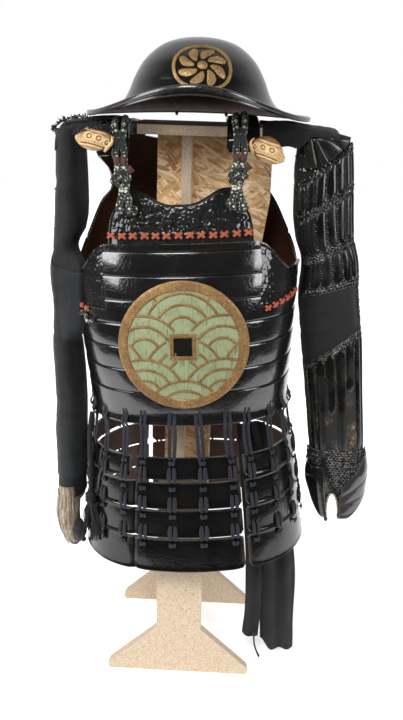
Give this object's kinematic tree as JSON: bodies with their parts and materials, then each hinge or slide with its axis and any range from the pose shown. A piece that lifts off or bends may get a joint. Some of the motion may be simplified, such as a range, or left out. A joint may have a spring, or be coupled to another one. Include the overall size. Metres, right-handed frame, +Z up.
{
  "type": "samurai armour on a wooden stand",
  "caption": "Samurai armour on a plain wooden stand: flared lacquered helmet, banded cuirass with a round breast disc, hung skirt panels and plated cloth sleeves.",
  "frame": {"origin": "on the floor, under the middle of the whole", "axes": "+Z up; the armour faces -Y; +X is to the right of someone facing its front"},
  "size_m": [0.5636, 0.3726, 1.1015],
  "materials": {
    "lacquer": "black lacquer over leather and iron, glossy with soft wear",
    "leather": "black lacquered leather with a pebbled, wrinkled grain",
    "gilt": "worn matt gilding",
    "patina": "pale green brushed field with a speckled gilt rim",
    "cloth": "matt blue-black hemp cloth",
    "cord": "dark twisted cord",
    "braid": "braid in white and dark green",
    "iron": "blackened mail and lacquered splints",
    "gold": "carved and gilded, worn pale",
    "particle": "bare particle board, cut edges",
    "strand": "bare oriented strand board",
    "felt": "dark felt",
    "silk": "soft black cloth, matt"
  },
  "bodies": {
    "root": {"stand_front_panel": "particle", "stand_rear_panel": "particle", "stand_rib": "particle", "stand_torso_board": "strand", "stand_shelf": "strand", "stand_shelf_felt": "felt", "helmet_bowl": "lacquer", "helmet_crest": "gilt", "cuirass_breast_plate": "leather", "cuirass_front_plate": "lacquer", "cuirass_side_plate_left": "leather", "cuirass_side_plate_right": "leather", "cuirass_back_plate": "lacquer", "cuirass_strap_left": "leather", "cuirass_strap_right": "leather", "cuirass_disc": "patina", "skirt_front_lame_1": "lacquer", "skirt_front_lame_2": "lacquer", "skirt_front_lame_3": "lacquer", "skirt_front_lame_4": "lacquer", "skirt_front_right_lame_1": "lacquer", "skirt_front_right_lame_2": "lacquer", "skirt_front_right_lame_3": "lacquer", "skirt_front_right_lame_4": "lacquer", "skirt_back_right_lame_1": "lacquer", "skirt_back_right_lame_2": "lacquer", "skirt_back_right_lame_3": "lacquer", "skirt_back_right_lame_4": "lacquer", "skirt_back_lame_1": "lacquer", "skirt_back_lame_2": "lacquer", "skirt_back_lame_3": "lacquer", "skirt_back_lame_4": "lacquer", "skirt_back_left_lame_1": "lacquer", "skirt_back_left_lame_2": "lacquer", "skirt_back_left_lame_3": "lacquer", "skirt_back_left_lame_4": "lacquer", "skirt_front_left_lame_1": "lacquer", "skirt_front_left_lame_2": "lacquer", "skirt_front_left_lame_3": "lacquer", "skirt_front_left_lame_4": "lacquer", "sleeve_right_cloth": "cloth", "sleeve_right_upper_guard": "iron", "sleeve_right_forearm_guard": "iron", "sleeve_right_hand_guard": "lacquer", "sleeve_left_cloth": "cloth", "sleeve_left_guard": "iron", "sleeve_left_hand_guard": "lacquer", "shoulder_flap_left": "cloth", "shoulder_flap_right": "cloth", "mask_left": "gold", "mask_right": "gold", "shoulder_cords_left": "braid", "shoulder_cords_right": "braid", "waist_cord": "cord", "sash_wide": "silk", "sash_narrow": "silk"}
  },
  "joints": []
}
